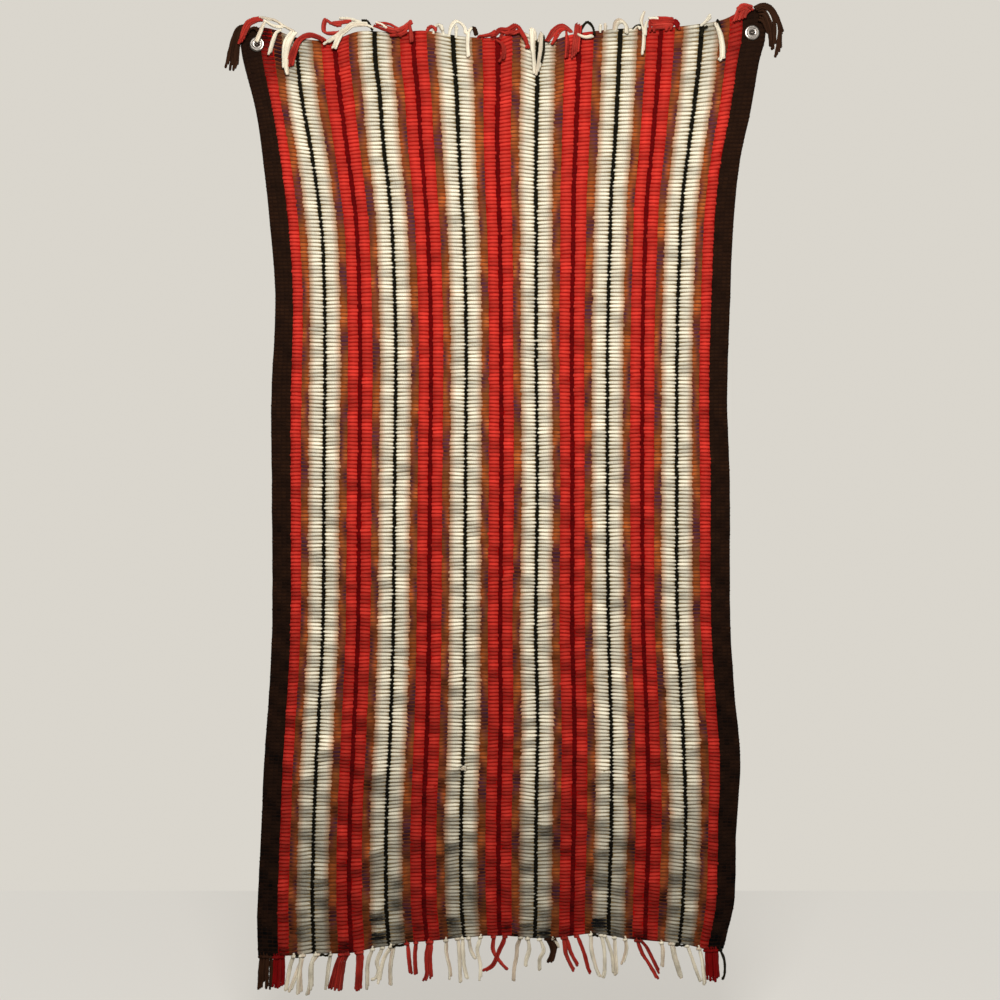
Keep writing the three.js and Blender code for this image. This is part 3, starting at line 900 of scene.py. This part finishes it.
# Each end at the top: X, height or None for the edge itself, how far in front, and steps right and up
topEnds = {
    "brown": [
        (-517, 26, 0, [(-18, -8), (-12, -32), (-10, -46)]),
        (-514, 25, 1, [(-17, -6), (-10, -34), (-7, -50)]),
        (-512, 22, 2, [(-15, -4), (-9, -34), (-5, -50)]),
        (-510, 18, 1, [(-14, -2), (-8, -30), (-4, -44)]),
        (-508, 14, 3, [(-12, 4), (-12, -20), (-6, -52)]),
        (-514, 8, 2, [(6, 9), (9, 2), (8, -8)]),
        (-73, None, 0, [(2, 15), (8, 4), (6, -14)]),
        (498, 61, 0, [(15, 6), (16, -6), (12, -17), (7, -18), (6, -18)]),
        (500, 58, 1, [(14, 5), (15, -6), (12, -17), (7, -20), (0, -48)]),
        (502, 55, 2, [(13, 5), (14, -7), (12, -17), (7, -20), (-8, -55)]),
        (504, 58, 3, [(13, 6), (13, -14), (7, -22), (0, -42)]),
        (506, 52, 1, [(10, 2), (8, -14), (7, -20), (3, -44)]),
        (507, 46, 3, [(8, 0), (7, -14), (5, -20), (3, -30)]),
        (508, 42, 1, [(8, -4), (6, -14), (5, -14)]),
        (506, 36, 1, [(9, -3), (6, -12), (5, -12)]),
    ],
    "red": [
        (-489, 39, 7, [(-14, -3), (-14, -10), (-13, -40)]),
        (-485, 36, 8, [(-14, -2), (-14, -10), (-15, -36)]),
        (-481, 33, 9, [(-15, 0), (-15, -8), (-15, -30)]),
        (-189, 26, 3, [(1, -18), (1, -18)]),
        (123, 12, 4, [(0, -26), (-2, -28)]),
        (291, 12, 1, [(-2, 10), (0, 10), (6, 6), (14, 2)]),
        (299, 12, 1, [(-2, 10), (0, 8), (8, 6), (14, 0)]),
        (288, 25, 1, [(24, 2), (24, 0)]),
        (290, 18, 0, [(20, 4), (22, 2)]),
        (322, 14, 0, [(4, 14), (10, 8), (6, -10)]),
        (332, 16, 0, [(2, 12), (8, 2), (4, -12)]),
        (457, 32, 1, [(3, 10), (4, 10), (5, 8), (12, 3)]),
        (462, 34, 0, [(2, 10), (4, 9), (5, 7), (11, 2)]),
        (468, 35, 1, [(2, 10), (3, 9), (5, 6), (10, 1)]),
        (474, 38, 0, [(2, 9), (3, 8), (5, 4), (9, 0)]),
        (480, 40, 1, [(1, 8), (3, 7), (4, 3)]),
        (-156, None, 0, [(4, 10), (9, 1), (7, -10)]),
        (-54, None, 1, [(2, 6), (12, 1), (14, 4), (8, 6)]),
        (-46, None, 2, [(4, 8), (13, 0), (11, 4)]),
        (-358, -6, 1, [(-11, 7), (-21, 7), (-21, -10), (-11, -26), (-9, -30)]),
        (-362, -8, 3, [(-12, 7), (-18, 5), (-18, -8), (-10, -24), (-7, -26)]),
        (-352, -10, 2, [(-13, 10), (-24, 8), (-23, -11), (-13, -22), (-8, -20)]),
        (-327, 12, 2, [(-12, -2), (-22, 2), (2, 24), (14, -8), (20, -4)]),
        (-349, 28, 3, [(26, 4), (18, 2)]),
        (-253, 30, 1, [(22, -2), (22, -12)]),
        (-261, 24, 2, [(22, -8), (30, -12)]),
        (-256, 27, 3, [(20, -5), (26, -10)]),
        (-235, 18, 3, [(18, -2), (16, 6), (16, 12)]),
        (-232, 12, 1, [(20, 1), (16, 8), (10, 8)]),
        (-229, 4, 2, [(22, 4), (16, 12)]),
        (-29, None, 1, [(16, 16), (16, -4), (19, 14), (11, -14), (12, -26), (-4, -4)]),
        (-25, None, 3, [(12, 18), (18, 2), (16, 8), (14, -18), (10, -22)]),
        (-17, None, 4, [(12, -12), (2, -20), (-8, -16)]),
        (-10, None, 2, [(8, 12), (16, -2), (14, 4), (12, -16)]),
        (82, -7, 1, [(14, 23), (19, 10), (16, -12)]),
        (94, -14, 2, [(13, 26), (12, 6), (14, -8)]),
        (86, -9, 3, [(15, 24), (16, 7), (15, -10)]),
        (144, None, 1, [(1, 18), (-2, 2), (-5, -34), (-4, -34)]),
        (149, None, 2, [(1, 15), (-1, 2), (-4, -30), (-3, -28)]),
        (289, 39, 1, [(26, 1), (22, -2)]),
        (289, 35, 2, [(25, 0), (22, -2)]),
        (292, 31, 1, [(22, 1), (20, -2)]),
        (464, 58, 1, [(12, 9), (19, -4)]),
        (467, 52, 2, [(14, 11), (12, -5)]),
    ],
    "white": [
        (-477, 32, 6, [(-8, -14), (-11, -26)]),
        (-490, 41, 3, [(29, -5), (20, -12), (22, -12)]),
        (-479, 34, 4, [(18, -10), (26, -2)]),
        (-445, 16, 2, [(-12, -6), (-8, -20), (-6, -24)]),
        (-419, 12, 3, [(-14, -19), (-5, -25), (1, -32), (2, -5)]),
        (-415, 11, 3, [(-14, -18), (-6, -25), (0, -33), (2, -9)]),
        (-424, 14, 2, [(-14, -19), (-4, -25), (1, -30)]),
        (-329, 38, 4, [(20, 0), (22, -8), (24, -10)]),
        (-273, 28, 5, [(-32, 0), (-14, -12), (-10, -6), (-14, -33)]),
        (-275, 24, 5, [(-28, 0), (-14, -11), (-10, -7), (-13, -28)]),
        (-319, 16, 5, [(-20, -14), (-22, -17)]),
        (-257, 30, 3, [(12, -4), (12, -8)]),
        (-121, None, 1, [(-4, 10), (-4, 6), (6, 2)]),
        (-111, None, 1, [(3, 18), (11, 12), (16, -12), (2, -14)]),
        (-97, None, 2, [(0, 18), (2, 4)]),
        (-65, 20, 1, [(-8, -10), (-2, -24), (2, -25)]),
        (62, None, 1, [(-3, 16), (-3, 3), (0, -38), (3, -50)]),
        (68, None, 2, [(3, 12), (2, 3), (-4, -42), (-6, -42)]),
        (145, 6, 3, [(14, -5), (16, 3)]),
        (191, None, 1, [(0, 12), (2, 3)]),
        (201, None, 1, [(0, 12), (-1, 4)]),
        (218, None, 1, [(2, 16), (9, 6), (12, -10), (1, -16)]),
        (279, 53, 1, [(-7, -19), (5, -22), (-2, -46)]),
        (283, 32, 2, [(-4, -20), (0, -8)]),
        (257, None, 1, [(9, 8), (5, -8)]),
        (392, None, 1, [(9, 8), (10, 14)]),
        (419, 30, 1, [(7, -18), (5, -26), (0, -24), (-5, -6)]),
        (287, 38, 3, [(10, 1), (10, -1)]),
        (-142, None, 1, [(3, 12), (9, 4), (7, -12)]),
        (222, None, 2, [(2, 13), (8, 5), (9, -9), (1, -15)]),
        (423, 28, 2, [(7, -18), (5, -26), (0, -24)]),
        (56, None, 1, [(-2, 14), (-2, 4), (2, -36), (6, -40)]),
        (72, None, 1, [(2, 10), (1, 3), (-3, -34), (-6, -36)]),
    ],
    "black": [
        (-285, 34, 3, [(12, -2), (10, -18)]),
        (74, None, 1, [(3, 10), (1, 2), (0, -28), (-5, -26)]),
        (152, None, 1, [(2, 12), (11, 12), (11, -10), (4, -16)]),
        (255, None, 2, [(8, 8), (10, 0)]),
        (405, 23, 1, [(-10, -7), (-2, -14)]),
        (424, None, 1, [(2, 6), (4, -14)]),
    ],
    "maroon": [
        (315, None, 1, [(10, 11), (14, 3), (8, -12)]),
        (318, None, 2, [(9, 8), (12, 2), (6, -10)]),
    ],
}
# Each end at the hem: X, and steps right and up
hemEnds = {
    "brown": [
        (-487, [(-3, -38), (-2, -30)]),
        (-481, [(-2, -36), (-3, -28)]),
        (-475, [(-1, -30), (0, -36)]),
        (-468, [(0, -34), (-1, -34)]),
        (84, [(10, -26), (-8, -22)]),
        (91, [(8, -24), (-6, -24)]),
        (98, [(3, -20), (-10, -26)]),
    ],
    "maroon": [
        (-460, [(-1, -32), (-2, -30)]),
        (-455, [(-1, -32), (-2, -32)]),
        (-450, [(-1, -30), (-2, -34)]),
        (-444, [(0, -30), (-1, -30)]),
        (402, [(1, -32), (2, -28)]),
        (407, [(2, -32), (2, -30)]),
        (412, [(2, -32), (3, -30)]),
        (417, [(2, -32), (2, -32)]),
        (422, [(1, -30), (2, -28)]),
    ],
    "white": [
        (-421, [(-9, -23), (-8, -48)]),
        (-402, [(-13, -34), (-16, -42)]),
        (-405, [(-6, -40), (-3, -40)]),
        (-408, [(-2, -40), (2, -36)]),
        (-371, [(-16, -20), (-4, -44), (-5, -20)]),
        (-377, [(-8, -18), (-2, -56)]),
        (-348, [(-5, -25), (-5, -48)]),
        (-264, [(-10, -28), (-1, -54)]),
        (-244, [(-12, -28), (3, -20), (-5, -15), (-9, -3)]),
        (-227, [(-15, -26), (-7, -30), (-4, -22)]),
        (-222, [(-7, -40), (0, -40)]),
        (-117, [(-1, -26), (7, -30), (1, -26)]),
        (-94, [(3, -46), (2, -44)]),
        (-85, [(2, -50), (7, -32)]),
        (-72, [(3, -26), (9, -18)]),
        (-48, [(-8, -26), (6, -30), (0, -34)]),
        (32, [(-8, -20), (-1, -20), (-5, -24), (-1, -24)]),
        (46, [(2, -24), (-6, -22), (-1, -12)]),
        (70, [(7, -22), (-8, -18), (0, -24)]),
        (97, [(12, -20)]),
        (172, [(0, -30), (8, -34), (9, -22)]),
        (192, [(6, -34), (1, -40), (-4, -14)]),
        (199, [(13, -36), (5, -42)]),
        (219, [(1, -32), (2, -34), (-2, -12)]),
        (241, [(1, -26), (-9, -26)]),
        (313, [(2, -20), (-1, -30)]),
        (332, [(4, -24), (8, -26), (6, -18)]),
        (336, [(4, -24), (8, -28), (5, -20)]),
        (364, [(10, -28), (8, -24), (9, -22)]),
        (388, [(6, -26), (3, -30), (2, -20)]),
    ],
    "red": [
        (-328, [(-9, -20), (-14, -50)]),
        (-323, [(-11, -18), (-12, -54)]),
        (-318, [(-11, -18), (-10, -56)]),
        (-313, [(-10, -18), (-8, -58)]),
        (-294, [(-1, -38), (-3, -38)]),
        (-290, [(-2, -40), (-3, -40)]),
        (-286, [(-3, -38), (-2, -40)]),
        (-195, [(2, -30), (4, -30)]),
        (-177, [(-4, -26), (2, -40)]),
        (-152, [(-6, -28), (1, -36), (-6, -16)]),
        (-147, [(-4, -34), (3, -42)]),
        (-22, [(-3, -28), (16, -26), (14, -14)]),
        (1, [(-13, -28), (-13, -30), (-19, -12)]),
        (117, [(4, -34), (17, -36)]),
        (122, [(8, -30), (16, -30)]),
        (144, [(13, -36), (8, -30), (6, -12)]),
        (264, [(10, -28), (13, -20), (17, -30)]),
        (271, [(13, -18), (15, -30), (10, -20)]),
    ],
    "black": [
        (430, [(9, -22), (1, -28), (-5, -12)]),
        (-414, [(8, -5), (8, 3)]),
        (-366, [(9, -4), (9, 3)]),
        (-222, [(14, -2), (14, 4)]),
        (178, [(8, -5), (8, 3)]),
        (346, [(8, -5), (9, 3)]),
    ],
}


edgeSearch = {"places": 400, "rounds": 3, "top": 0.0, "hem": -1810.0}


def flatAt(x, height):  # place across the flat cloth that hangs at X, at a height
    count = edgeSearch["places"]
    flats = np.linspace(0, cloth["flatWidth"], count)
    return float(np.interp(x, sideways(flats, np.full(count, float(height))), flats))


def edgeAt(name, x):
    height = edgeSearch[name]
    for _ in range(edgeSearch["rounds"]):
        height = float(edgeHeight(name, [flatAt(x, height)])[0])
    return height


def smoothRoute(points):  # Catmull-Rom through the points, one place for each step of yarn
    points = np.asarray(points, float)
    padded = np.concatenate([[2 * points[0] - points[1]], points, [2 * points[-1] - points[-2]]])
    route = []
    for before, start, end, after in zip(padded, padded[1:], padded[2:], padded[3:]):
        count = max(2, round(np.linalg.norm(end - start) / strand["step"]))
        for share in np.arange(count) / count:
            route.append(0.5 * (
                2 * start
                + (end - before) * share
                + (2 * before - 5 * start + 4 * end - after) * share ** 2
                + (3 * start - before - 3 * end + after) * share ** 3
            ))
    route.append(points[-1])
    return np.array(route)


def depthOf(x, z, front, lift):
    clear = cloth["thickness"] / 2 + strand["radius"] + strand["clear"] + lift
    return -float(standOff(np.array([x]), np.array([z]))[0]) - cloth["thickness"] / 2 - front * clear


def topRoute(x, z, lift, steps):
    front = 1.0
    if z is None:
        z = edgeAt("top", x) - topSetting["under"]
        front = 0.0
    points = [(x, depthOf(x, z, front, lift), z)]
    gone = 0.0
    for right, up in steps:
        gone += math.hypot(right, up)
        x += right
        z += up
        forward = min(1.0, front + gone / topSetting["comesForward"])
        points.append((x, depthOf(x, z, forward, lift), z))
    return smoothRoute(points)


def hemRoute(x, steps, order):
    z = edgeAt("hem", x) + hemSetting["above"]
    nudge = hemSetting["apart"] * math.sin(order * hemSetting["swing"])
    points = [(x, depthOf(x, z, 0, 0), z)]
    z -= hemSetting["above"]
    points.append((x, depthOf(x, z, 0, 0) - hemSetting["sag"], z))
    for right, up in steps:
        x += right
        z += up
        points.append((x, depthOf(x, z, 0, 0) + nudge, z))
    return smoothRoute(points)


def paired(yarn, routes):  # the routes, with those of their twins where the yarn has them
    right, up = twins.get(yarn, (0, 0))
    pairs = []
    for route in routes:
        pairs.append(route)
        if yarn in twins:
            away = np.minimum(np.arange(len(route)) * strand["step"] / twinning["stretch"], 1)[:, None]
            twin = route + away * (right, 1, up)
            pairs.append(twin[:len(route) - chance.integers(0, twinning["shorter"])])
    return pairs


def knotRoute(x, hem):  # a turn of yarn round the end, where it leaves the hem
    z = hem - knot["under"]
    y = depthOf(x, z, 0, 0)
    turns = np.linspace(0, 2 * math.pi, knot["points"])
    across = np.cos(turns)
    out = np.sin(turns)
    return np.stack([
        x + knot["radius"] * across,
        y + knot["radius"] * out,
        z + knot["tilt"] * across,
    ], axis=-1)


def yarnTree():
    net = Net(bpy.data.node_groups.new("spunYarn", "GeometryNodeTree"))
    given = net.given({
        "Geometry": "NodeSocketGeometry",
        "Radius": "NodeSocketFloat",
        "Hollow": "NodeSocketFloat",
        "Plies": "NodeSocketInt",
        "Lay": "NodeSocketFloat",
        "Yarn": "NodeSocketMaterial",
    })
    path = net.node("GeometryNodeMeshToCurve", values={"Mesh": given["Geometry"]})
    length = net.node("GeometryNodeSplineParameter", output=1)
    tilt = net.node("ShaderNodeMath", {"operation": "DIVIDE"}, {0: length, 1: given["Lay"]})
    twist = net.node("GeometryNodeSetCurveTilt", values={"Curve": path, "Tilt": tilt})
    section = net.node("GeometryNodeCurveStar", values={
        "Points": given["Plies"],
        "Inner Radius": given["Radius"] * given["Hollow"],
        "Outer Radius": given["Radius"],
    })
    girth = net.node("GeometryNodeInputNamedAttribute", {"data_type": "FLOAT"}, {"Name": "girth"})
    tube = net.node("GeometryNodeCurveToMesh", values={
        "Curve": twist,
        "Profile Curve": section,
        "Scale": girth,
        "Fill Caps": True,
    })
    soft = net.node("GeometryNodeSetShadeSmooth", values={"Geometry": tube})
    real = net.node("GeometryNodeRealizeInstances", values={"Geometry": soft})
    painted = net.node("GeometryNodeSetMaterial", values={"Geometry": real, "Material": given["Yarn"]})
    return net.finish(painted)


def spin(name, yarn, routes, tree):  # one piece from the routes of all ends of a colour
    places = []
    edges = []
    columns = {"girth": [], "tone": [], "crest": [], "outer": [], "along": []}
    for route in routes:
        first = len(places)
        count = len(route)
        places.extend(route)
        edges.extend((first + place, first + place + 1) for place in range(count - 1))
        girth = 1 + chance.uniform(-spinning["girth"], spinning["girth"])
        girth = girth + spinning["slow"] * slowNoise(count, spinning["slowStep"])
        girth[-2:] *= spinning["frayed"]
        columns["girth"].extend(girth)
        columns["tone"].extend([chance.uniform(*spinning["tone"]) - fringeShade.get(yarn, 0)] * count)
        columns["crest"].extend([chance.uniform(*spinning["crest"])] * count)
        columns["outer"].extend([1] * count)
        tint = spinning["tint"] + max(0.0, chance.uniform(*spinning["tintMore"]))
        columns["along"].extend([tint] * count)
    mesh = meshOf(f"{name}Paths", places, edges=edges)
    for label, values in columns.items():
        addAttribute(mesh, label, values)
    source = bpy.data.objects.new(f"{name}Source", mesh)
    values = {
        "Radius": strand["radius"] * mm,
        "Hollow": strand["hollow"],
        "Plies": strand["plies"],
        "Lay": strand["lay"] * mm / (2 * math.pi),
        "Yarn": finishes[yarn],
    }
    return grown(name, tree, source, values, ("girth",))


spinTree = yarnTree()
fringe = {}
for yarn, table in topEnds.items():
    routes = paired(yarn, [topRoute(*row) for row in table])
    fringe[f"{yarn}TopEnds"] = spin(f"{yarn}TopEnds", yarn, routes, spinTree)
    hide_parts("fringe_top")
for yarn, table in hemEnds.items():
    routes = paired(yarn, [hemRoute(x, steps, order) for order, (x, steps) in enumerate(table)])
    routes += [knotRoute(x, edgeAt("hem", x)) for x, _ in table]
    fringe[f"{yarn}HemEnds"] = spin(f"{yarn}HemEnds", yarn, routes, spinTree)
    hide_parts("fringe_bottom")
# One white end has worked loose and crosses a black line
tuft = {"steps": [(4, 2), (5, -3)], "starts": [(-85, -1456, -1), (-86, -1460, 0)]}
tuftRoutes = [topRoute(*start, tuft["steps"]) for start in tuft["starts"]]
looseTuft = spin("looseTuft", "white", tuftRoutes, spinTree)
print("yarn ends spun")


# Discs and pins, turned about a line that points at the viewer

turning = {"segments": 72, "gap": 0.3}
discSection = [
    (2.1, 0), (2.1, 0.9), (2.5, 1.1), (3.2, 1.4), (4.2, 2.0), (5.2, 2.7), (5.9, 3.0), (6.8, 3.1),
    (8.6, 3.0), (10.6, 2.95), (12, 3.05), (13, 3.0), (13.8, 2.75), (14.5, 2.35), (15.1, 1.8), (15.5, 1.2),
    (15.6, 0.6), (15.4, 0.15), (15, 0),
]
pinHead = [(0, 2.4), (0.9, 2.35), (1.7, 2.15), (2.4, 1.75), (2.7, 1.45), (2.7, 1.35), (1.8, 1.3)]
pinShank = [(1.8, -9.3), (0, -9.3)]
merging = 1e-6


def mended(mesh):  # doubles merged and faces turned outwards
    work = bmesh.new()
    work.from_mesh(mesh)
    bmesh.ops.remove_doubles(work, verts=work.verts, dist=merging)
    bmesh.ops.recalc_face_normals(work, faces=work.faces)
    work.to_mesh(mesh)
    work.free()
    return mesh


def turned(name, section, side, slotName, material, closed):
    px, pz = pins[side]
    seat = -float(standOff(np.array([px]), np.array([pz]))[0]) - cloth["thickness"] - turning["gap"]
    count = turning["segments"]
    places = []
    for radius, out in section:
        for step in range(count):
            turn = 2 * math.pi * step / count
            places.append((px + radius * math.cos(turn), seat - out, pz + radius * math.sin(turn)))
    faces = []
    rings = len(section)
    for ring in range(rings if closed else rings - 1):
        here = ring * count
        there = (ring + 1) % rings * count
        for step in range(count):
            after = (step + 1) % count
            faces.append((here + step, there + step, there + after, here + after))
    mesh = meshOf(name, places, faces)
    mesh.validate()
    return shown(name, mended(mesh), [material])


discs = {}
nails = {}
for side in pins:
    discs[side] = turned(f"{side}Disc", discSection, side, "disc_metal", metals["disc"], True)
    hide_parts(f"disc_{side}")
    nails[side] = turned(f"{side}Pin", [*pinHead, *pinShank], side, "pin_metal", metals["pin"], False)
    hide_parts(f"pin_{side}")
print("discs and pins turned")


# Floor, light and camera, in metres

studio = {
    # The floor is pale to the camera, and dim as a light on the hem
    "floor": {"height": -2.04, "half": 1.5, "shine": 0.55, "roughness": 0.9},
    "grey": (0.7, 0.67, 0.61),
    "pale": (0.8, 0.77, 0.71),
    "dim": (0.3, 0.29, 0.27),
    "glow": 0.3,  # the air lights the cloth less than it shows
    "lights": {
        "key": {"place": (-0.03, -2.6, 0.6), "aim": (0, 0, -0.7), "size": 0.8, "power": 91},
        "fill": {"place": (1.5, -2.6, -0.5), "aim": (0, 0, -0.9), "size": 2.0, "power": 8},
        "flash": {"place": (0, -3.3, -0.72), "aim": (0, 0, -0.4), "size": 0.14, "power": 1.2},
        "rearLeft": {"place": (-2.6, 2.4, 0.2), "aim": (0, 0, -0.9), "size": 1.2, "power": 34},
        "rearRight": {"place": (2.6, 2.4, 0.2), "aim": (0, 0, -0.9), "size": 1.2, "power": 34},
    },
    "camera": {"place": (-0.009, -3.5065, -0.922), "lens": 63},
}


def floor():
    half = studio["floor"]["half"] / mm
    height = studio["floor"]["height"] / mm
    corners = [(-half, -half, height), (half, -half, height), (half, half, height), (-half, half, height)]
    mesh = meshOf("studioFloor", corners, [(0, 1, 2, 3)], smooth=False)
    ground = bpy.data.objects.new("studioFloor", mesh)
    bpy.context.scene.collection.objects.link(ground)
    paint = bpy.data.materials.new("floorPaint")
    paint.use_nodes = True
    net = Net(paint.node_tree)
    surface = paint.node_tree.nodes["Principled BSDF"]
    watched = net.node("ShaderNodeLightPath")
    net.put((*studio["dim"], 1), surface.inputs["Base Color"])
    net.put((*studio["pale"], 1), surface.inputs["Emission Color"])
    net.put(watched * studio["floor"]["shine"], surface.inputs["Emission Strength"])
    net.put(studio["floor"]["roughness"], surface.inputs["Roughness"])
    mesh.materials.append(paint)


def aimed(item, place, aim):
    item.location = place
    item.rotation_euler = (Vector(aim) - Vector(place)).to_track_quat("-Z", "Y").to_euler()


def light(name, place, aim, size, power):
    lamp = bpy.data.lights.new(name, "AREA")
    lamp.size = size
    lamp.energy = power
    item = bpy.data.objects.new(name, lamp)
    bpy.context.scene.collection.objects.link(item)
    item.visible_camera = False
    aimed(item, place, aim)


floor()
for name, look in studio["lights"].items():
    light(name, **look)
world = bpy.data.worlds.new("studio")
world.use_nodes = True
air = Net(world.node_tree)
seen = air.node("ShaderNodeLightPath")
background = world.node_tree.nodes["Background"]
air.put((*studio["grey"], 1), background.inputs["Color"])
air.put(seen * (1 - studio["glow"]) + studio["glow"], background.inputs["Strength"])
bpy.context.scene.world = world
lens = bpy.data.cameras.new("camera")
lens.lens = studio["camera"]["lens"]
camera = bpy.data.objects.new("camera", lens)
bpy.context.scene.collection.objects.link(camera)
camera.location = studio["camera"]["place"]
camera.rotation_euler = (math.pi / 2, 0, 0)
bpy.context.scene.camera = camera
bpy.context.scene.view_settings.view_transform = "Standard"
print("studio set")

soft = [panel, *edgings.values(), *rows.values(), *fringe.values(), looseTuft]
triangles = {
    item.name: sum(len(face.vertices) - 2 for face in item.data.polygons)
    for item in [*soft, *discs.values(), *nails.values()]
}
print("triangles", triangles, sum(triangles.values()))
